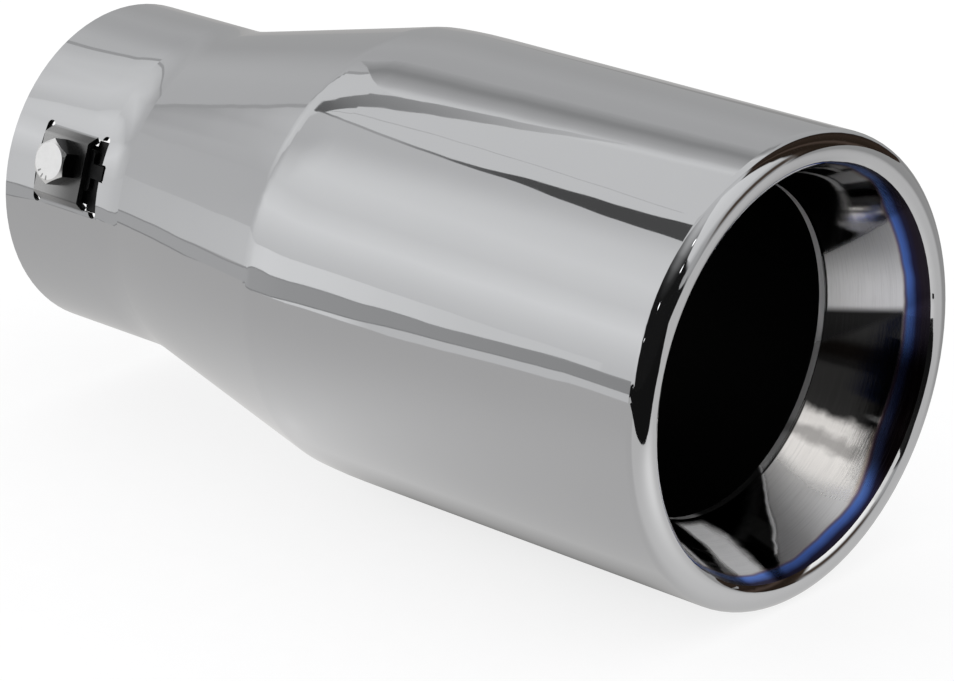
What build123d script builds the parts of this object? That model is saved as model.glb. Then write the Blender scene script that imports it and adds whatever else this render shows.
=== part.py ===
from build123d import *
import os
from math import asin, atan2, cos, degrees, radians, sin, sqrt, tan

os.makedirs("parts", exist_ok=True)

# A bolt-on tip for the end of a car's tail pipe. The frame is in millimetres.
# The origin is the middle of the inlet's mouth, +X runs along the tip to its outlet and +Z is up.
# Every station below is a distance along X from the mouth of the inlet.

# Sheet and round sizes of the outer shell
SHEET = 1.25
BORE_RADIUS = 31.75
COLLAR_RADIUS = BORE_RADIUS + SHEET
BODY_RADIUS = 44.45
MOUTH_EASE = 0.3

# Stations along the shell. The cone ends in a tight shoulder, past which the wall still rises a little to the body
CONE_START = 29.9
SHOULDER_START = 79.8
SHOULDER_LENGTH = 6.0
SHOULDER_ANGLE = 4.0
OVERALL_LENGTH = 176.5

# The radii that the shell's three bends are spun to
COLLAR_BEND = 38.0
SHOULDER_BEND = 14.0
BODY_BEND = 130.0

# The rolled lip is a round curl whose front touches the overall length, and it ends at this angle
LIP_ROLL = 3.3
LIP_ROLL_END = -43.0
LIP_STATION = OVERALL_LENGTH - LIP_ROLL
LIP_CENTRE_RADIUS = BODY_RADIUS - LIP_ROLL

# The liner is a funnel inside the outlet, with a short straight neck at its back
LINER_DEPTH = 20.0
NECK_RADIUS = 32.0
NECK_LENGTH = 1.5
NECK_END = OVERALL_LENGTH - LINER_DEPTH
NECK_START = NECK_END - NECK_LENGTH

# The clamp's window is cut in the collar, at this station and this angle above the collar's side
WINDOW_STATION = 17.6
WINDOW_ANGLE = 18.3
WINDOW_LENGTH = 18.0
WINDOW_WIDTH = 14.4
STRAP_LENGTH = 12.5
STRAP_RISE = 1.5
STRAP_TOP = COLLAR_RADIUS + STRAP_RISE
STRAP_UNDERSIDE = STRAP_TOP - SHEET
STRAP_FLAT = 12.0
STRAP_BEND = 0.6
STRAP_ROOT = 0.35
RELIEF_RADIUS = 1.0
NOTCH_DEPTH = 1.1
NOTCH_WIDTH = 3.4

# The strap, the screw and the notch lie a little off the window's centre
SCREW_SHIFT = -0.7
SCREW_LIFT = 1.0

# The screw and the plate that it is threaded into
SCREW_RADIUS = 2.5
SCREW_FIT = 0.05
SCREW_HOLE_FIT = 0.25
HEAD_FLATS = 8.0
HEAD_HEIGHT = 3.5
HEAD_CROWN_RADIUS = 3.7
HEAD_SLOPE = 30.0
PLATE_THICKNESS = 1.2
PLATE_LENGTH = 15.0
PLATE_WIDTH = 8.2
PLATE_CORNER = 0.8
TONGUE_GAP = 0.3
SADDLE_THICKNESS = 0.65
SADDLE_GAP = 0.3
SADDLE_WAIST = 11.4
BORE_CLEARANCE = 0.05
TIP_EASE = 0.3


def on_circle(centre, radius, angle):
    """The point on a circle at an angle in degrees."""
    return (centre[0] + radius * cos(radians(angle)), centre[1] + radius * sin(radians(angle)))


def roll_points(radius, steps):
    """Points round the lip's curl at this radius, from the body to the end of the curl."""
    turn = (LIP_ROLL_END - 90.0) / steps
    return [on_circle(lip_centre, radius, 90.0 + turn * step) for step in range(steps + 1)]


def turned_side(angle):
    """The half plane through the axis at this angle up from the clamp's side, with x along the tip and y outward."""
    return Plane(origin=(0, 0, 0), x_dir=(1, 0, 0), z_dir=(0, -sin(radians(angle)), -cos(radians(angle))))


def inside_corner(corner, before, after, inset):
    """A corner of the line drawn this far inside another one, from that one's slopes before and after the corner."""
    spread = cos((after - before) / 2)
    middle = (before + after) / 2
    return (corner[0] + inset * sin(middle) / spread, corner[1] - inset * cos(middle) / spread)


def sheet_face(inset):
    """One face of the shell's sheet, from the mouth to the end of the curl, this far inside the outer face.

    The curl's inner face can't be seen, so it is drawn in a few flats.
    """
    bent = FilletPolyline(
        (0, COLLAR_RADIUS - inset),
        inside_corner(cone_start, 0, cone_slope, inset),
        inside_corner(shoulder_start, cone_slope, shoulder_slope, inset),
        inside_corner(body_start, shoulder_slope, 0, inset),
        (LIP_STATION, BODY_RADIUS - inset),
        radius=(COLLAR_BEND + inset, SHOULDER_BEND - inset, BODY_BEND - inset),
    )
    if inset == 0:
        roll = ThreePointArc(*roll_points(LIP_ROLL, 2))
    else:
        roll = Polyline(*roll_points(LIP_ROLL - inset, 4))
    return Wire([*bent.edges(), *roll.edges()])


# The corners of the shell's outer face before they are bent, and the slopes between them
cone_start = (CONE_START, COLLAR_RADIUS)
body_start = (SHOULDER_START + SHOULDER_LENGTH, BODY_RADIUS)
shoulder_slope = radians(SHOULDER_ANGLE)
shoulder_start = (SHOULDER_START, BODY_RADIUS - SHOULDER_LENGTH * tan(shoulder_slope))
cone_slope = atan2(shoulder_start[1] - cone_start[1], shoulder_start[0] - cone_start[0])

# The curl's centre, its end, and the direction in which the sheet runs there
lip_centre = (LIP_STATION, LIP_CENTRE_RADIUS)
roll_end = on_circle(lip_centre, LIP_ROLL, LIP_ROLL_END)
roll_heading = (sin(radians(LIP_ROLL_END)), -cos(radians(LIP_ROLL_END)))

# The funnel's wall runs from its neck to the end of the curl, and is drawn past it to be trimmed there
funnel_slope = atan2(roll_end[1] - NECK_RADIUS, roll_end[0] - NECK_END)
funnel_past_end = (roll_end[0] + LIP_ROLL * cos(funnel_slope), roll_end[1] + LIP_ROLL * sin(funnel_slope))
weld_face = Plane(origin=lip_centre, z_dir=(*roll_heading, 0))

# The clamp's own frame: x along the tip, y around the collar and z out from the collar
clamp_out = (0, -cos(radians(WINDOW_ANGLE)), sin(radians(WINDOW_ANGLE)))
window_frame = Plane(origin=(WINDOW_STATION, 0, 0), x_dir=(1, 0, 0), z_dir=clamp_out)
screw_frame = window_frame.shift_origin(window_frame.from_local_coords((SCREW_SHIFT, SCREW_LIFT, 0)))

# Sections that look along the tip: through the strap, and through the screw
strap_middle = window_frame.from_local_coords((SCREW_SHIFT, 0, 0))
strap_section = Plane(origin=strap_middle, x_dir=window_frame.y_dir, z_dir=(1, 0, 0))
screw_section = Plane(origin=screw_frame.origin, x_dir=window_frame.y_dir, z_dir=(1, 0, 0))
screw_axis = Axis(screw_frame.origin, clamp_out)


# OUTER SHELL: one sheet, spun from the collar out to the body and rolled inwards at the outlet
with BuildPart() as outer_shell:
    with BuildSketch(Plane.XY):
        with BuildLine():
            outside = sheet_face(0)
            inside = sheet_face(SHEET)
            Line(outside @ 0, inside @ 0)
            Line(outside @ 1, inside @ 1)
        make_face()
        # The mouth of the collar is eased on both edges so that it slides over a pipe
        mouth = vertices().group_by(Axis.X)[0]
        chamfer(mouth, length=MOUTH_EASE)
    revolve(axis=Axis.X)

    # The window is cut through the wall, and its corners open into round reliefs
    with BuildSketch(window_frame.offset(STRAP_TOP)):
        Rectangle(WINDOW_LENGTH, WINDOW_WIDTH)
        with GridLocations(WINDOW_LENGTH - 2 * RELIEF_RADIUS, WINDOW_WIDTH, 2, 2):
            Circle(RELIEF_RADIUS)
        with Locations(((WINDOW_LENGTH + NOTCH_DEPTH) / 2, SCREW_LIFT)):
            Rectangle(NOTCH_DEPTH, NOTCH_WIDTH)
    extrude(amount=-BORE_RADIUS / 2, mode=Mode.SUBTRACT)

    # The strap bridges the window and stands proud of the collar, still joined at its two ends
    root_width = WINDOW_WIDTH / 2 + STRAP_ROOT
    root_height = sqrt(COLLAR_RADIUS * COLLAR_RADIUS - root_width * root_width)
    with BuildSketch(strap_section):
        with BuildLine():
            bridge = FilletPolyline(
                (root_width, root_height),
                (STRAP_FLAT / 2, STRAP_TOP),
                (-STRAP_FLAT / 2, STRAP_TOP),
                (-root_width, root_height),
                radius=STRAP_BEND,
            )
            offset(amount=SHEET, side=Side.LEFT)
        make_face()
    extrude(amount=STRAP_LENGTH / 2, both=True)

    # The screw passes through a plain hole in the strap
    with Locations(screw_frame.offset(STRAP_TOP)):
        Hole(radius=SCREW_RADIUS + SCREW_HOLE_FIT, depth=2 * SHEET)

outer_shell.part.label = "outer_shell"
export_step(outer_shell.part, "parts/outer_shell.step")


# INNER LINER: a funnel welded to the end of the lip's curl, with a short neck at its back
with BuildPart() as inner_liner:
    with BuildSketch(Plane.XY):
        with BuildLine():
            Polyline((NECK_START, NECK_RADIUS), (NECK_END, NECK_RADIUS), funnel_past_end)
            offset(amount=SHEET, side=Side.LEFT, kind=Kind.INTERSECTION)
        make_face()
        split(bisect_by=weld_face, keep=Keep.TOP)
    revolve(axis=Axis.X)

inner_liner.part.label = "inner_liner"
export_step(inner_liner.part, "parts/inner_liner.step")


# CLAMP SCREW: a hexagon head on the strap, and a plain shank down to the underside of the plate
plate_underside = STRAP_UNDERSIDE - PLATE_THICKNESS
with BuildPart() as clamp_screw:
    with BuildSketch(screw_frame.offset(STRAP_TOP)):
        RegularPolygon(radius=HEAD_FLATS / 2, side_count=6, major_radius=False, rotation=30)
    extrude(amount=HEAD_HEIGHT)

    # The crown slopes down from its round top, which leaves a curved edge on each flat
    crown_reach = HEAD_FLATS
    crown_drop = (crown_reach - HEAD_CROWN_RADIUS) * sin(radians(HEAD_SLOPE)) / cos(radians(HEAD_SLOPE))
    head_top = STRAP_TOP + HEAD_HEIGHT
    with BuildSketch(screw_section):
        with BuildLine():
            Polyline(
                (0, STRAP_TOP),
                (0, head_top),
                (HEAD_CROWN_RADIUS, head_top),
                (crown_reach, head_top - crown_drop),
                (crown_reach, STRAP_TOP),
                close=True,
            )
        make_face()
    revolve(axis=screw_axis, mode=Mode.INTERSECT)

    with BuildSketch(screw_frame.offset(STRAP_TOP)):
        Circle(SCREW_RADIUS)
    extrude(amount=plate_underside - STRAP_TOP)
    tip = faces().sort_by(screw_axis)[0]
    chamfer(tip.edges(), length=TIP_EASE)

clamp_screw.part.label = "clamp_screw"
export_step(clamp_screw.part, "parts/clamp_screw.step")


# NUT PLATE: a flat threaded plate under the strap, held square by a tongue in the window's notch
with BuildPart() as nut_plate:
    with BuildSketch(screw_frame.offset(plate_underside)):
        RectangleRounded(PLATE_LENGTH, PLATE_WIDTH, PLATE_CORNER)
        tongue_start = PLATE_LENGTH / 2 - PLATE_CORNER
        tongue_end = WINDOW_LENGTH / 2 + NOTCH_DEPTH - TONGUE_GAP - SCREW_SHIFT
        with Locations(((tongue_start + tongue_end) / 2, 0)):
            Rectangle(tongue_end - tongue_start, NOTCH_WIDTH - 2 * TONGUE_GAP)
        Circle(SCREW_RADIUS + SCREW_FIT, mode=Mode.SUBTRACT)
    extrude(amount=PLATE_THICKNESS)
    # Its foot is a thin saddle on the bore, which closes the window's slots and narrows under the strap
    saddle_radius = BORE_RADIUS + BORE_CLEARANCE + SADDLE_THICKNESS / 2
    saddle_length = WINDOW_LENGTH - 2 * SADDLE_GAP
    strap_start = WINDOW_STATION + SCREW_SHIFT - STRAP_LENGTH / 2 - SADDLE_GAP
    strap_end = WINDOW_STATION + SCREW_SHIFT + STRAP_LENGTH / 2 + SADDLE_GAP
    saddle_start = WINDOW_STATION - saddle_length / 2
    saddle_end = WINDOW_STATION + saddle_length / 2
    for start, end, width in (
        (saddle_start, strap_start, WINDOW_WIDTH - 2 * SADDLE_GAP),
        (saddle_start, saddle_end, SADDLE_WAIST),
        (strap_end, saddle_end, WINDOW_WIDTH - 2 * SADDLE_GAP),
    ):
        turn = degrees(asin(width / 2 / BORE_RADIUS))
        with BuildSketch(turned_side(WINDOW_ANGLE + turn)):
            with Locations(((start + end) / 2, saddle_radius)):
                Rectangle(end - start, SADDLE_THICKNESS)
        revolve(axis=Axis.X, revolution_arc=2 * turn)
    with BuildSketch(screw_frame.offset(BORE_RADIUS - SHEET)):
        Circle(SCREW_RADIUS + SCREW_FIT)
    extrude(amount=2 * SHEET, mode=Mode.SUBTRACT)

nut_plate.part.label = "nut_plate"
export_step(nut_plate.part, "parts/nut_plate.step")
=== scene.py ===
import bpy
from math import cos, radians, sin
from mathutils import Matrix, Vector

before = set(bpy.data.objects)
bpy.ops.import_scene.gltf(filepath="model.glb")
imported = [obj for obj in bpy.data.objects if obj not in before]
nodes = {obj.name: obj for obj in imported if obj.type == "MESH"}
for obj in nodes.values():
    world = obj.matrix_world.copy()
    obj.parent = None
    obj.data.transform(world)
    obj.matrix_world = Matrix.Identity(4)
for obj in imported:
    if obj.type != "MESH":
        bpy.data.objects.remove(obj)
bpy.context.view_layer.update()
MM = 0.001

# Places on the part and the floor under it, in metres along the axis X or out from it
FLOOR = -44.45 * MM
STRAP_FOOT = 33.15 * MM
STRAP_BLEND = 0.0004
STRAP_END = 0.024
WAVES_FADE, WAVES_END = 0.02, 0.034
NECK_FADES, NECK_END = 0.1562, 0.1565
CURL_FROM = 0.1695
CURL_AT, CURL_CENTRE_RADIUS = 0.1732, 0.04115

# The screw's place along the axis, its ticks' distance from its middle, and the clamp's lean in degrees
SCREW_AT = 0.0169
TICKS_FROM, TICKS_TO = 0.0019, 0.0028
CLAMP_LEAN = 18.3

# The camera, as fitted to the photograph's outline. Seen from above it looks in from this far clockwise of +X
CAMERA_SIDE = 47.3
CAMERA_AT = (584.7, -527.9, 263.6)
SIDE_X, SIDE_Y = 0.7351, 0.6780
RIGHT = Vector((SIDE_X, SIDE_Y, 0.0)).normalized()
FORWARD = Vector((-0.6325, 0.6857, -0.3602)).normalized()
FOCAL_LENGTH, SENSOR_WIDTH, NEAREST = 152.0, 36.0, 0.01


def grey(value, warm=0.0):
    """A grey of this level, as a colour."""
    return (value * (1 + warm), value, value * (1 - warm), 1.0)


class Net:
    """Builds a node tree in short calls. An argument may be a number, a colour or another node's output."""

    def __init__(self, tree):
        self.tree = tree
        tree.nodes.clear()

    def put(self, socket, value):
        if isinstance(value, bpy.types.NodeSocket):
            self.tree.links.new(value, socket)
        elif value is not None:
            socket.default_value = value

    def node(self, kind, inputs=None, **settings):
        """A new node with these settings, and with its inputs filled by name or number."""
        made = self.tree.nodes.new(kind)
        for key, value in settings.items():
            setattr(made, key, value)
        for key, value in (inputs or {}).items():
            self.put(made.inputs[key], value)
        return made

    def math(self, what, a, b=None, c=None):
        made = self.node("ShaderNodeMath", operation=what)
        for socket, value in zip(made.inputs, (a, b, c)):
            self.put(socket, value)
        return made.outputs[0]

    def times(self, a, b):
        return self.math("MULTIPLY", a, b)

    def times_plus(self, a, b, c):
        """a times b, plus c."""
        return self.math("MULTIPLY_ADD", a, b, c)

    def minus(self, a, b):
        return self.math("SUBTRACT", a, b)

    def larger(self, a, b):
        return self.math("MAXIMUM", a, b)

    def under(self, value, limit):
        """1 where value is under limit, else 0."""
        return self.math("LESS_THAN", value, limit)

    def hypotenuse(self, a, b):
        return self.math("SQRT", self.times_plus(a, a, self.times(b, b)))

    def degrees(self, y, x):
        """The direction of (x, y), in degrees."""
        return self.math("DEGREES", self.math("ARCTAN2", y, x))

    def ramp(self, value, a, b, low=0.0, high=1.0):
        """low below a, high above b, and smooth between them."""
        ends = {"Value": value, "From Min": a, "From Max": b, "To Min": low, "To Max": high}
        return self.node("ShaderNodeMapRange", ends, interpolation_type="SMOOTHSTEP").outputs["Result"]

    def fall(self, value, a, b):
        """1 below a, 0 above b, and smooth between them."""
        return self.ramp(value, a, b, 1.0, 0.0)

    def ramp_line(self, value, a, b):
        """0 at a, 1 at b, and a straight line between them."""
        ends = {"Value": value, "From Min": a, "From Max": b}
        return self.node("ShaderNodeMapRange", ends).outputs["Result"]

    def band(self, value, a, b, soft):
        """1 between a and b, 0 outside."""
        return self.times(self.ramp(value, a - soft, a + soft), self.fall(value, b - soft, b + soft))

    def mix(self, factor, a, b, blend="MIX"):
        inputs = {"Factor": factor, "A": a, "B": b}
        return self.node("ShaderNodeMix", inputs, data_type="RGBA", blend_type=blend).outputs["Result"]

    def mix_shaders(self, factor, a, b):
        return self.node("ShaderNodeMixShader", {0: factor, 1: a, 2: b}).outputs[0]

    def darken(self, factor, a, b):
        """a, and a times b where factor is 1."""
        return self.mix(factor, a, b, "MULTIPLY")

    def noise(self, scale, detail=2.0, vector=None, rough=0.5):
        inputs = {"Scale": scale, "Detail": detail, "Roughness": rough, "Vector": vector}
        return self.node("ShaderNodeTexNoise", inputs).outputs["Fac"]

    def dot(self, a, b):
        return self.node("ShaderNodeVectorMath", {0: a, 1: b}, operation="DOT_PRODUCT").outputs["Value"]

    def distance(self, a, b):
        return self.node("ShaderNodeVectorMath", {0: a, 1: b}, operation="DISTANCE").outputs["Value"]

    def split(self, vector):
        """The x, y and z of a vector."""
        return list(self.node("ShaderNodeSeparateXYZ", {0: vector}).outputs)

    def stops(self, factor, low, high, stops):
        """A level or colour along factor, from stops of (place between low and high, level or colour)."""
        made = self.node("ShaderNodeValToRGB", {0: factor})
        elements = made.color_ramp.elements
        elements.remove(elements[0])
        for i, (at, level) in enumerate(stops):
            place = (at - low) / (high - low)
            stop = elements[0] if i == 0 else elements.new(place)
            stop.position = place
            stop.color = level if isinstance(level, tuple) else grey(level)
        return made.outputs[0]


# Camera
camera = bpy.data.objects.new("camera", bpy.data.cameras.new("camera"))
bpy.context.scene.collection.objects.link(camera)
camera.data.lens = FOCAL_LENGTH
camera.data.sensor_width = SENSOR_WIDTH
camera.data.clip_start = NEAREST
turn = Matrix((RIGHT, RIGHT.cross(FORWARD).normalized(), -FORWARD)).transposed().to_4x4()
camera.matrix_world = Matrix.Translation(Vector(CAMERA_AT) * MM) @ turn
bpy.context.scene.camera = camera
bpy.context.scene.view_settings.view_transform = "Standard"

# World: what the steel mirrors of the studio's walls, by degrees round from the camera's side and degrees up
world = bpy.data.worlds.new("studio")
bpy.context.scene.world = world
world.use_nodes = True
net = Net(world.node_tree)
direction = net.node("ShaderNodeTexCoord").outputs["Generated"]
turned = {"Vector": direction, "Angle": radians(CAMERA_SIDE)}
turned_direction = net.node("ShaderNodeVectorRotate", turned, rotation_type="Z_AXIS").outputs[0]
turned_x, turned_y, turned_z = net.split(turned_direction)
around = net.degrees(turned_y, turned_x)
height = net.math("DEGREES", net.math("ARCSINE", turned_z))


def profile(value, stops, low=-10.0, high=90.0):
    """A level or colour that follows value, from stops of (value, level or colour)."""
    return net.stops(net.ramp_line(value, low, high), low, high, stops)


def lamp(around_at, up_at, radius, level):
    """A small round lamp far off, with its size in degrees: what it adds to the walls."""
    angle, up = radians(around_at - CAMERA_SIDE), radians(up_at)
    facing = net.dot(direction, (cos(up) * cos(angle), cos(up) * sin(angle), sin(up)))
    return net.ramp(facing, cos(radians(radius * 1.3)), cos(radians(radius * 0.7)), 0.0, level)


side_wall_up = [(-10, 0.68), (15, 0.67), (30, 0.63), (44, 0.72), (90, 0.76)]
front_wall_up = [(-10, 0.78), (3, 0.82), (9, 0.9), (17, 1.05), (25, 0.92), (34, 1.0), (42, 0.92), (50, 0.8),
                 (90, 0.8)]
back_wall_up = [(-30, 0.44), (0, 0.44), (14, 0.49), (26, 0.57), (40, 0.57), (90, 0.8)]
side_or_front = net.ramp(around, -114.0, -98.0)
walls = net.mix(side_or_front, profile(height, side_wall_up), profile(height, front_wall_up))
back = net.larger(net.ramp(around, 120.0, 150.0), net.fall(around, -168.0, -150.0))
walls = net.mix(back, walls, profile(height, back_wall_up, -30.0))

# Right of the dark room in front is a bright upright. Its edge leans: hundreds of degrees round, by height
room_edge = [(-10, 0.72), (-5, 0.68), (9, 0.56), (19, 0.46), (27, 0.38), (34, 0.3), (42, 0.21), (57, 0.17),
             (75, 0.1)]
past_edge = net.ramp(net.minus(around, net.times(profile(height, room_edge), 100.0)), -2.0, 2.0)
upright_up = [(-10, 0.35), (0, 0.45), (20, 0.6), (34, 0.9), (75, 1.0)]
walls = net.mix(net.times(past_edge, net.fall(around, 88.0, 94.0)), walls, profile(height, upright_up))

# Next to the upright is a brown wall with one paler board, and a low brown piece before the upright
DARK_WOOD = (0.03, 0.02, 0.014, 1)
PALE_BOARD = (0.1, 0.07, 0.055, 1)
WORN_WOOD = (0.045, 0.03, 0.022, 1)
WOOD_IN_SHADE = (0.02, 0.014, 0.01, 1)
LOW_WOOD = (0.09, 0.065, 0.05, 1)
wood_round = [(90, DARK_WOOD), (103, DARK_WOOD), (108, PALE_BOARD), (113, DARK_WOOD), (132, WORN_WOOD),
              (150, WOOD_IN_SHADE)]
brown = net.times(net.band(around, 92.0, 147.0, 2.0), net.fall(height, 70.0, 76.0))
walls = net.mix(brown, walls, profile(around, wood_round, 90.0, 150.0))
low_piece = net.times(net.band(around, 68.0, 94.0, 5.0), net.band(height, 5.0, 19.0, 4.0))
walls = net.mix(low_piece, walls, LOW_WOOD)

# The dark room is black ahead and paler upwards
room_up = [(-30, 0.012), (38, 0.013), (46, 0.045), (52, 0.15), (58, 0.28), (65, 0.5), (75, 0.72)]
in_room = net.times(net.ramp(net.times_plus(height, 0.7, around), -57.0, -53.0), net.minus(1.0, past_edge))
walls = net.mix(in_room, walls, profile(height, room_up, -30.0))

# Four small lamps, from (degrees round, degrees up, radius in degrees)
LAMPS = ((11, 57, 1.5), (14, 41, 1.5), (-36, 36, 1.5), (-59, 20, 1.0))
LAMP_LEVEL = 3.5
lamps = 0.0
for around_at, up_at, radius in LAMPS:
    lamps = net.math("ADD", lamps, lamp(around_at, up_at, radius, LAMP_LEVEL))
walls = net.mix(1.0, walls, lamps, "ADD")

# The camera sees white, the steel mirrors the walls, and everything else is lit by plain light
WHITE = (1, 1, 1, 1)
PLAIN_LIGHT = (0.95, 0.95, 0.96, 1)
rays = net.node("ShaderNodeLightPath").outputs
seen, mirrored, lit = (net.node("ShaderNodeBackground", {"Color": colour}).outputs[0]
                       for colour in (WHITE, walls, PLAIN_LIGHT))
unseen = net.mix_shaders(rays["Is Glossy Ray"], lit, mirrored)
net.node("ShaderNodeOutputWorld", {0: net.mix_shaders(rays["Is Camera Ray"], unseen, seen)})


def new_material(name):
    """A material and the net of its nodes."""
    made = bpy.data.materials.new(name)
    made.use_nodes = True
    return made, Net(made.node_tree)


def add_mesh(name, points, faces):
    """A mesh object of these points and faces, linked to the scene."""
    mesh = bpy.data.meshes.new(name)
    mesh.from_pydata([tuple(p) for p in points], [], faces)
    made = bpy.data.objects.new(name, mesh)
    bpy.context.scene.collection.objects.link(made)
    return made


# Floor
FLOOR_REACH = 3.0
SEEN_FLOOR = 0.78
FLOOR_LEVEL = 0.59
FRONT_GLOW = 0.12
POOL_AT = (0.066, -0.036, FLOOR)
POOL_GLOW = 0.32
MOUTH_POOL_AT = (0.245, -0.02, FLOOR)
MOUTH_POOL_GLOW = 0.36
FAR_SHADE = 0.42


def floor_look():
    """Grey cloth, pale to the camera. To the steel it glows instead, with painted pools of light, a painted
    shade and painted dim corners.
    """
    made, net = new_material("floor")
    rays = net.node("ShaderNodeLightPath").outputs
    place = net.node("ShaderNodeNewGeometry").outputs["Position"]
    x, y = net.split(place)[:2]
    weave = net.mix(net.noise(900.0, 3.0), grey(0.25), grey(0.27))
    cloth = net.node("ShaderNodeBsdfDiffuse", {"Color": weave})
    glow = net.node("ShaderNodeEmission", {"Strength": net.times(rays["Is Camera Ray"], SEEN_FLOOR)})
    both = net.node("ShaderNodeAddShader", {0: cloth.outputs[0], 1: glow.outputs[0]})
    # What the steel mirrors of the floor is painted light: pools of light, a shade under the body and dim
    # places far behind and at the right
    pool = net.math("EXPONENT", net.times(net.distance(place, POOL_AT), -28.0))
    level = net.times_plus(pool, POOL_GLOW, FLOOR_LEVEL)
    shaded = net.times(net.ramp_line(net.math("ABSOLUTE", y), 0.029, 0.007), net.ramp(x, 0.058, 0.1))
    shaded = net.times(shaded, net.fall(x, 0.15, 0.178))
    level = net.times(level, net.times_plus(shaded, -1.0, 1.0))
    level = net.math("ADD", level, net.ramp(x, 0.168, 0.185, 0.0, FRONT_GLOW))
    from_mouth_pool = net.math("POWER", net.distance(place, MOUTH_POOL_AT), 2.0)
    mouth_pool = net.math("EXPONENT", net.times(from_mouth_pool, -420.0))
    level = net.times_plus(mouth_pool, MOUTH_POOL_GLOW, level)
    across = net.times_plus(x, SIDE_X, net.times(y, SIDE_Y))
    away = net.times_plus(x, -SIDE_Y, net.times(y, SIDE_X))
    corner = net.times(net.ramp(across, 0.16, 0.22), net.ramp(away, -0.095, -0.035))
    behind = net.times(net.ramp(away, 0.15, 0.4), 0.5)
    level = net.times(level, net.times_plus(net.larger(corner, behind), -FAR_SHADE, 1.0))
    mirrored = net.node("ShaderNodeEmission", {"Color": grey(1.0, 0.01), "Strength": level})
    chosen = net.mix_shaders(rays["Is Glossy Ray"], both.outputs[0], mirrored.outputs[0])
    net.node("ShaderNodeOutputMaterial", {0: chosen})
    return made


corners = [(-FLOOR_REACH, -FLOOR_REACH), (FLOOR_REACH, -FLOOR_REACH), (FLOOR_REACH, FLOOR_REACH),
           (-FLOOR_REACH, FLOOR_REACH)]
floor_material = floor_look()
floor = add_mesh("floor", [(x, y, FLOOR) for x, y in corners], [(0, 1, 2, 3)])
floor.data.materials.append(floor_material)

# Cards: the ceiling and the table that the steel mirrors, in mm. They were set against the photograph
AWAY = Vector((-RIGHT.y, RIGHT.x, 0))
CEILING = 150
SOFT_HEM_AT = 149.6
ON_THE_FLOOR = -44.2
BODY_MIDDLE = 88
TABLE_OUT = 250
UPRIGHT_OUT = 560


def reflected_only(made):
    """Shown only in reflections."""
    made.visible_camera = False
    made.visible_diffuse = False
    made.visible_transmission = False
    made.visible_shadow = False
    made.visible_volume_scatter = False


def glowing(name, points, faces, levels):
    """A flat shape of the studio, seen only in reflections, with a level of brightness at each point."""
    made = add_mesh(name, points, faces)
    shade = made.data.color_attributes.new("level", "FLOAT_COLOR", "POINT")
    for item, level in zip(shade.data, levels):
        item.color = grey(level)
    material, net = new_material(name)
    level = net.node("ShaderNodeVertexColor", layer_name="level").outputs[0]
    net.node("ShaderNodeOutputMaterial", {0: net.node("ShaderNodeEmission", {"Color": level}).outputs[0]})
    made.data.materials.append(material)
    reflected_only(made)


def rung_faces(count):
    """Faces between rungs of two points each."""
    return [(2 * i, 2 * i + 2, 2 * i + 3, 2 * i + 1) for i in range(count - 1)]


def grid_faces(count, n):
    """Faces between rows of n points each."""
    starts = [row * n + i for row in range(count - 1) for i in range(n - 1)]
    return [(a, a + 1, a + n + 1, a + n) for a in starts]


def overhead(a, b, z):
    """A point above the part, across and away from the camera, in mm."""
    return (RIGHT * a + AWAY * b) * MM + Vector((0, 0, z * MM))


def back_edge(a, shift=0.0):
    """A point of the ceiling's back edge, at this distance across."""
    return (a, 46.0 - 0.52 * a + shift)


def panel(name, level, points, z):
    """A flat panel of one level from points of (a, b)."""
    glowing(name, [overhead(a, b, z) for a, b in points], [tuple(range(len(points)))], [level] * len(points))


def strip(name, z, rungs):
    """A strip overhead from rungs of (a, b, a, b, level)."""
    points, levels = [], []
    for a0, b0, a1, b1, level in rungs:
        points += [overhead(a0, b0, z), overhead(a1, b1, z)]
        levels += [level, level]
    glowing(name, points, rung_faces(len(rungs)), levels)


def ribbon(name, radius, rungs):
    """A ribbon round the studio from rungs of (degrees from the camera's side, top, bottom, level)."""
    fine = []
    for one, two in zip(rungs, rungs[1:]):
        steps = max(1, round(abs(two[0] - one[0]) / 2))
        fine += [[p + (q - p) * i / steps for p, q in zip(one, two)] for i in range(steps)]
    fine.append(rungs[-1])
    points, levels = [], []
    for around_at, top, bottom, level in fine:
        angle = radians(around_at - CAMERA_SIDE)
        for z in (top, bottom):
            points.append(Vector((BODY_MIDDLE + radius * cos(angle), radius * sin(angle), z)) * MM)
            levels.append(level)
    glowing(name, points, rung_faces(len(fine)), levels)


def patchwork(name, z, columns):
    """A panel overhead from columns of (a, (b, level), (b, level), ...)."""
    points = [overhead(a, b, z) for a, *column in columns for b, level in column]
    levels = [level for a, *column in columns for b, level in column]
    glowing(name, points, grid_faces(len(columns), len(columns[0]) - 1), levels)


def sheet(name, z, columns, rows):
    """A soft sheet overhead along the back edge: columns across, rows of (distance past the edge, level)."""
    points = [overhead(*back_edge(a, past), z) for past, level in rows for a in columns]
    levels = [level for past, level in rows for a in columns]
    glowing(name, points, grid_faces(len(rows), len(columns)), levels)


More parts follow.
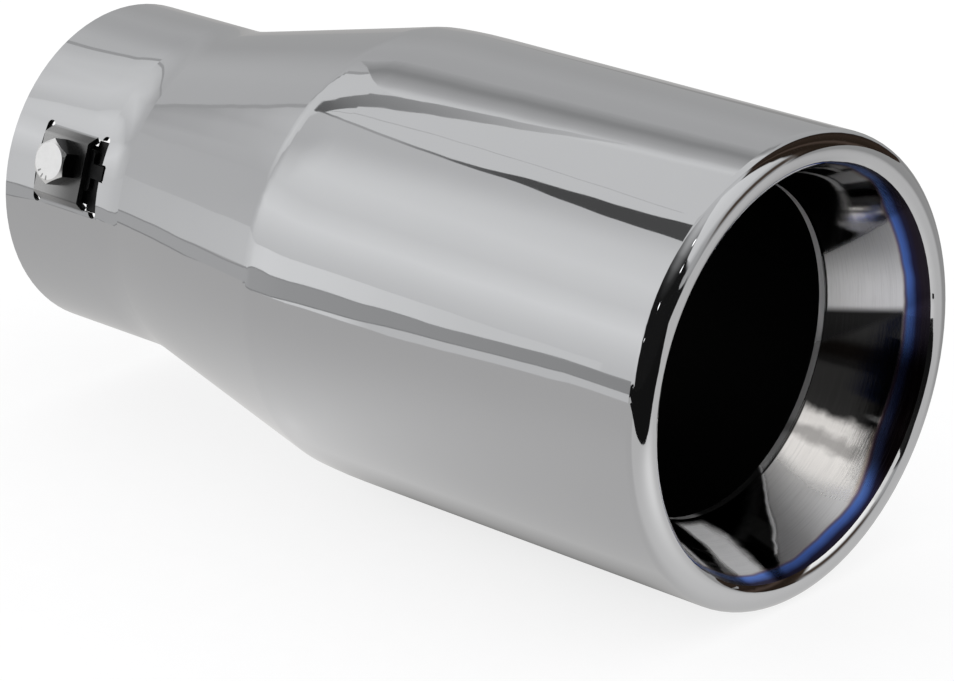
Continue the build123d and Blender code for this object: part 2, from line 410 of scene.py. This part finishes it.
patchwork("top_panel", CEILING, [
    (-330, (217, 0.6), (110, 0.66), (85, 0.7), (60, 0.7)),
    (-240, (171, 0.52), (100, 0.68), (60, 0.8), (30, 0.78)),
    (-170, (134, 0.52), (90, 0.7), (40, 0.92), (7, 0.84)),
    (-120, (108, 0.66), (70, 0.85), (30, 0.95), (-10, 0.86)),
    (-80, (88, 0.75), (60, 0.86), (30, 0.9), (-3, 0.86)),
    (-57, (76, 0.8), (55, 0.86), (30, 0.86), (2, 0.86)),
    (-41, (67, 0.82), (40, 0.86), (0, 0.86), (-30, 0.86)),
    (-26, (60, 0.84), (30, 0.86), (0, 0.86), (-54, 0.86)),
    (28, (31, 0.86), (0, 0.86), (-40, 0.86), (-94, 0.86)),
    (60, (15, 0.86), (-20, 0.86), (-60, 0.86), (-112, 0.86)),
    (105, (-9, 0.86), (-40, 0.86), (-70, 0.86), (-109, 0.86)),
    (138, (-26, 0.86), (-50, 0.86), (-70, 0.86), (-97, 0.86)),
    (150, (-32, 0.86), (-40, 0.86), (-50, 0.86), (-60, 0.86))])
hem_corners = ((0, 3), (-330, 3), (-330, -4), (0, -4))
panel("panel_hem", 0.5, [back_edge(a, shift) for a, shift in hem_corners], CEILING - 1)
sheet("soft_hem", SOFT_HEM_AT, (0, 20, 60, 100, 150), [
    (-46, 0.86), (-39, 0.93), (-33, 0.84), (-26, 0.65), (-18, 0.55), (-10, 0.48), (-4, 0.42), (2, 0.37),
    (8, 0.37), (14, 0.42), (20, 0.45), (27, 0.5), (36, 0.55)])
strip("panel_end", CEILING - 1, [
    (-60, 6, -55, 1, 0.2), (-47, -20, -44, -20, 0.5), (-37, -38, -34, -37, 0.5), (-27, -55, -25, -53, 0.2)])
strip("dark_gap", CEILING - 1, [
    (-27, -55, -25, -53, 0.2), (-17, -66, -12, -62, 0.12), (-11, -79, 1, -72, 0.1), (-4, -92, 12, -82, 0.1),
    (8, -107, 28, -94, 0.1), (18, -122, 45, -108, 0.1)])
strip("dark_strip", CEILING - 1, [
    (-60, 2, -59, 4, 0.15), (-46, -3, -46, 12, 0.2), (-26, -12, -34, 12, 0.28), (-14, -12, -16, 5, 0.34),
    (2, -13, 0, 3, 0.4), (17, -16, 17, -1, 0.48), (30, -18, 33, -8, 0.6), (62, -20, 62, -18, 0.75)])
strip("panel_seam", CEILING - 1, [
    (-50, -1, -50, -2, 0.6), (-34, -16.5, -34, -17.5, 0.6), (-12, -31, -12, -32, 0.6), (5, -49, 5, -50, 0.6),
    (36, -85, 36, -86, 0.6)])

# The table's edge, from (degrees from the camera's side, top, foot), and what is above and below it
TABLE = [
    (-114, -22, -38), (-109, -21, -38.5), (-107, -20.5, -41), (-105, -24.5, -45.5), (-103, -26, -47),
    (-101, -25, -46), (-98, -21.5, -42.5), (-96, -20, -41), (-93, -19, -44), (-88, -11, -43),
    (-85, -8, -42.5), (-82, -9.6, -42.1), (-79, -8.5, -40), (-77.5, -8, -38.3), (-75.5, -5, -35.5),
    (-73.3, -5.2, -33), (-71.4, -2.5, -27.5), (-69.5, -2, -24.5), (-67.6, 1.1, -21.2), (-65.6, 4.7, -18),
    (-63.6, 8.4, -14.6), (-61.5, 12.3, -9), (-57, 11, -11)]
TABLE_FRONT_FROM = 6
WALL_TOP, WALL_LOW = 28, -24
wall_levels = ((-140, 0.66), (-112, 0.7), (-98, 0.86), (-90, 0.92), (-84, 1.05), (-76, 1.02), (-68, 0.9),
               (-60, 0.88))
ribbon("table_band", TABLE_OUT, [(u, top, low, 0.56 if u < -90 else 0.52 - 0.004 * (u + 90))
                                 for u, top, low in TABLE])
ribbon("table_band_top", TABLE_OUT - 1, [(u, top + 1, top - 1.2, 0.42) for u, top, low in TABLE])
ribbon("table_band_foot", TABLE_OUT - 1, [(u, low + 1.2, low - 1, 0.36) for u, top, low in TABLE])
ribbon("wall_foot", TABLE_OUT + 6, [(u, WALL_TOP, WALL_LOW, level) for u, level in wall_levels])
panel("table_end", 0.01, [
    (-2500, -1200), (-424, -354), (-27, -333), (94, -274), (146, -246), (195, -222), (222, -203), (246, -194),
    (261, -192), (283, -188), (354, -246), (1220, -909), (4000, -3000), (4000, -6000), (-2500, -6000)],
    ON_THE_FLOOR)
ribbon("table_front", TABLE_OUT + 2, [(u, low, low - 16, 0.96 if -89 < u < -74 else 0.78)
                                      for u, top, low in TABLE[TABLE_FRONT_FROM:]])
ribbon("upright_side", UPRIGHT_OUT, [
    (37, 206, 180, 0.42), (41, 206, 140, 0.5), (46, 206, 110, 0.55), (52, 206, 75, 0.55)])


# Materials, with the heights of their bumps in metres
SHELL_WAVE = 0.00006
SCRATCH_DEPTH = 0.00005


def shell_places(net, place, colour, rough, bore_shade_level):
    """The shell's own places: the bore in painted shade, the clamp's dull strap with painted shade, and the
    curl's painted highlight.
    """
    x, y, z = net.split(place)
    # The sheet's bore side faces the axis, so its normal and its place point opposite ways
    normal_y, normal_z = net.split(net.node("ShaderNodeNewGeometry").outputs["True Normal"])[1:]
    outward = net.times_plus(y, normal_y, net.times(z, normal_z))
    within = net.times(net.under(outward, 0.0), net.under(x, CURL_FROM))
    # Painted shade: the bore side is coloured near black, a little less dark towards the inlet, and it is
    # rougher
    colour = net.mix(within, colour, net.mix(net.ramp(x, 0.035, 0.06), grey(0.11), grey(bore_shade_level)))
    rough = net.times_plus(within, 0.4, rough)
    # The clamp's strap, pressed out of the collar, has lost its shine. Its colour is also painted shade:
    # darker from near the screw to its end
    out = net.hypotenuse(y, z)
    dull_and_shaded_strap = net.times(net.ramp(out, STRAP_FOOT, STRAP_FOOT + STRAP_BLEND), net.under(x, STRAP_END))
    dull_and_shaded_strap = net.times(dull_and_shaded_strap, net.minus(1.0, within))
    colour = net.mix(dull_and_shaded_strap, colour, net.mix(net.ramp(x, 0.012, 0.022), grey(0.4), grey(0.13)))
    rough = net.times_plus(dull_and_shaded_strap, 0.22, rough)
    # Painted highlight: the curl's steel is coloured brightest low on its inner side
    roll = net.degrees(net.minus(out, CURL_CENTRE_RADIUS), net.minus(x, CURL_AT))
    painted_highlight = net.times(net.band(roll, -60.0, -31.0, 3.0), net.band(net.degrees(z, y), -88.0, -28.0, 5.0))
    return net.mix(painted_highlight, colour, grey(1.0)), rough


def steel(name, level=0.58, roughness=0.035, bore_shade_level=None, wave=0.0):
    """Steel sheet, polished or dull. With bore_shade_level it is the shell's, with painted shade in its bore.
    Its waves are as high as wave.
    """
    made, net = new_material(name)
    place = net.node("ShaderNodeTexCoord").outputs["Object"]
    shader = net.node("ShaderNodeBsdfPrincipled", {"Metallic": 1.0})
    cloud = net.noise(60.0, 3.0, place)
    colour = net.mix(cloud, (level * 0.97, level * 0.98, level, 1), (level * 0.99, level, level * 1.02, 1))
    rough = net.ramp(net.noise(400.0, 3.0, place), 0.2, 0.8, roughness * 0.7, roughness * 1.3)
    if bore_shade_level is not None:
        colour, rough = shell_places(net, place, colour, rough, bore_shade_level)
    if wave:
        # Slight waves left in the sheet by spinning, and stronger ones in the collar
        collar = net.ramp(net.split(place)[0], WAVES_FADE, WAVES_END, 8.0, 0.0)
        waves = net.times_plus(net.noise(30.0, 0.0, place), collar, net.noise(70.0, 1.0, place, 0.4))
        bump = net.node("ShaderNodeBump", {"Height": waves, "Strength": 1.0, "Distance": wave})
        net.put(shader.inputs["Normal"], bump.outputs[0])
    net.put(shader.inputs["Base Color"], colour)
    net.put(shader.inputs["Roughness"], rough)
    net.node("ShaderNodeOutputMaterial", {0: shader.outputs[0]})
    return made


# The heat tint, going out to the lip: places along the axis in mm, and the steel's colour there
TINT_FROM, TINT_TO = 166, 178
TINT = [
    (168.6, (0.84, 0.83, 0.82, 1)), (169.3, (0.6, 0.52, 0.46, 1)), (169.8, (0.24, 0.17, 0.28, 1)),
    (170.4, (0.16, 0.33, 0.9, 1)), (171.1, (0.12, 0.23, 0.7, 1)), (172.0, (0.035, 0.035, 0.1, 1)),
    (173.0, (0.04, 0.03, 0.05, 1)), (175.7, (0.045, 0.04, 0.045, 1))]
BLUE_IN_SHADE = (0.4, 0.28, 0.25, 1)
TINTED_FROM, TINTED_FULL = 0.1692, 0.17
LEAN_FROM = 0.16
SCRATCHES_ALONG, SCRATCHES_ROUND = 4000.0, 3.0


def heated_liner():
    """Brushed steel with a heat-tinted ring at the weld, and further in painted highlights, painted shade and
    pale painted reflections.
    """
    made, net = new_material("heated_liner")
    place = net.node("ShaderNodeTexCoord").outputs["Object"]
    x, y, z = net.split(place)
    turned_round = net.math("ARCTAN2", z, y)
    degrees_round = net.math("DEGREES", turned_round)
    # The tint wanders, reaches furthest in on the +Y side and is all but gone near the top
    drift = net.times_plus(net.noise(55.0, 3.0, place), 0.0022, net.minus(x, 0.0022))
    drift = net.minus(drift, net.ramp(net.math("ABSOLUTE", degrees_round), 34.0, 56.0, 0.0, 0.0017))
    drift = net.times_plus(net.band(degrees_round, 82.0, 150.0, 7.0), -0.006, drift)
    tint = net.stops(net.ramp_line(drift, TINT_FROM * MM, TINT_TO * MM), TINT_FROM, TINT_TO, TINT)
    tinted = net.ramp(drift, TINTED_FROM, TINTED_FULL)
    untinted = net.minus(1.0, tinted)
    # Scratches run round the funnel
    along = net.times(x, SCRATCHES_ALONG)
    unrolled = net.node("ShaderNodeCombineXYZ", {0: along, 1: net.times(turned_round, SCRATCHES_ROUND)})
    scratch = net.noise(1.0, 4.0, unrolled.outputs[0], 0.7)
    # Each place lies between two directions round the axis. Its edges fray or lean
    wavering_round = net.times_plus(net.noise(90.0, 3.0, place), 10.0, degrees_round)
    frayed = net.times_plus(net.noise(300.0, 4.0, place), 5.0, degrees_round)
    depth = net.minus(x, LEAN_FROM)
    torn = net.times_plus(depth, 1500.0, wavering_round)
    low_edge = net.ramp(torn, -67.0, -63.0)
    lower = net.times(low_edge, net.fall(wavering_round, -57.0, -44.0))
    upper = net.band(net.times_plus(depth, -1000.0, degrees_round), -10.0, 22.0, 2.0)
    # Pale, less metallic patches where the steel shows bright reflections: painted reflection, just past the
    # neck, along a white line and on the neck
    painted_reflection_foot = net.times(net.band(wavering_round, -104.0, -92.0, 2.5), net.ramp(x, 0.157, 0.159))
    painted_reflection_line = net.times(net.band(torn, -65.8, -64.4, 0.5), net.fall(x, 0.17, 0.1706))
    neck = net.times(net.fall(x, NECK_FADES, NECK_END), net.ramp(degrees_round, -16.0, -4.0, 0.45, 1.0))
    painted_reflection = net.larger(net.larger(painted_reflection_foot, painted_reflection_line), neck)
    # Rougher steel, also coloured paler: rough places with a painted highlight
    rough_and_painted_bright = net.larger(net.larger(lower, upper), painted_reflection)
    # Painted shade: places coloured near black, low down and between about -33 and 0 degrees round past the
    # neck, and a thin dark line just past the neck
    low_painted_shade = net.times(net.band(wavering_round, -90.0, -55.0, 2.0), net.minus(1.0, low_edge))
    leaning = net.times_plus(depth, -240.0, degrees_round)
    painted_shade = net.times(net.ramp(frayed, -35.0, -31.0), net.fall(leaning, -2.5, 0.5))
    painted_shade = net.times(painted_shade, net.ramp(x, NECK_FADES, NECK_END))
    neck_line = net.band(x, NECK_END, 0.1569, 0.0001)
    painted_shade_and_neck_line = net.larger(net.larger(painted_shade, neck_line), low_painted_shade)
    # A narrow streak, darkened by half
    darker_streak = net.times(net.band(frayed, -43.8, -38.8, 1.8), net.fall(x, 0.1685, 0.1705))
    colour = net.mix(net.times(rough_and_painted_bright, untinted), tint, grey(0.95))
    colour = net.mix(net.times(painted_shade_and_neck_line, untinted), colour, grey(0.03))
    colour = net.darken(darker_streak, colour, grey(0.5))
    colour = net.darken(net.times(net.band(degrees_round, -52.0, 4.0, 8.0), tinted), colour, grey(0.4))
    blue_in_shade = net.times(net.band(degrees_round, -46.0, -12.0, 4.0), tinted)
    colour = net.darken(blue_in_shade, colour, BLUE_IN_SHADE)
    colour = net.mix(net.ramp(scratch, 0.4, 0.75, 0.0, 0.12), colour, grey(0.1))
    rough = net.times_plus(tinted, 0.22, net.ramp(scratch, 0.3, 0.7, 0.03, 0.07))
    rough = net.math("ADD", rough, net.times(rough_and_painted_bright, 0.3))
    bump = net.node("ShaderNodeBump", {"Height": scratch, "Strength": 0.12, "Distance": SCRATCH_DEPTH})
    shader = net.node("ShaderNodeBsdfPrincipled", {
        "Base Color": colour, "Metallic": net.times_plus(painted_reflection, -0.7, 1.0), "Roughness": rough,
        "Normal": bump.outputs[0]})
    net.node("ShaderNodeOutputMaterial", {0: shader.outputs[0]})
    return made


def plated_screw():
    """Bright zinc on the head's top, with three small stamped ticks. The flats and shank are coloured dark:
    painted shade.
    """
    made, net = new_material("plated_screw")
    place = net.node("ShaderNodeTexCoord").outputs["Object"]
    lean = radians(CLAMP_LEAN)
    facing = net.dot(net.node("ShaderNodeNewGeometry").outputs["True Normal"], (0, -cos(lean), sin(lean)))
    x = net.minus(net.dot(place, (1, 0, 0)), SCREW_AT)
    y = net.dot(place, (0, sin(lean), cos(lean)))
    ticks = net.times(net.band(net.hypotenuse(x, y), TICKS_FROM, TICKS_TO, 0.0001),
                      net.band(net.degrees(y, x), -165.0, -70.0, 2.0))
    every_tick = net.math("SINE", net.times(net.degrees(y, x), 0.2))
    ticks = net.times(ticks, net.ramp(every_tick, 0.5, 0.8))
    zinc = net.mix(net.noise(900.0, 3.0, place), grey(0.8), grey(0.9))
    zinc = net.mix(ticks, zinc, grey(0.3))
    # Painted shade: all but the faces turned like the head's top are coloured dark
    shader = net.node("ShaderNodeBsdfPrincipled", {
        "Metallic": 1.0, "Base Color": net.mix(net.ramp(facing, 0.6, 0.8), grey(0.07), zinc),
        "Roughness": net.ramp(facing, 0.6, 0.8, 0.16, 0.3)})
    net.node("ShaderNodeOutputMaterial", {0: shader.outputs[0]})
    return made


looks = {
    "outer_shell": steel("polished_shell", bore_shade_level=0.02, wave=SHELL_WAVE),
    "inner_liner": heated_liner(),
    "clamp_screw": plated_screw(),
    # The nut plate is coloured near black: painted shade, for the shadow in the slots
    "nut_plate": steel("plate_in_painted_shade", 0.03, 0.4)}
for name, made in looks.items():
    for slot in nodes[name].material_slots:
        slot.material = made
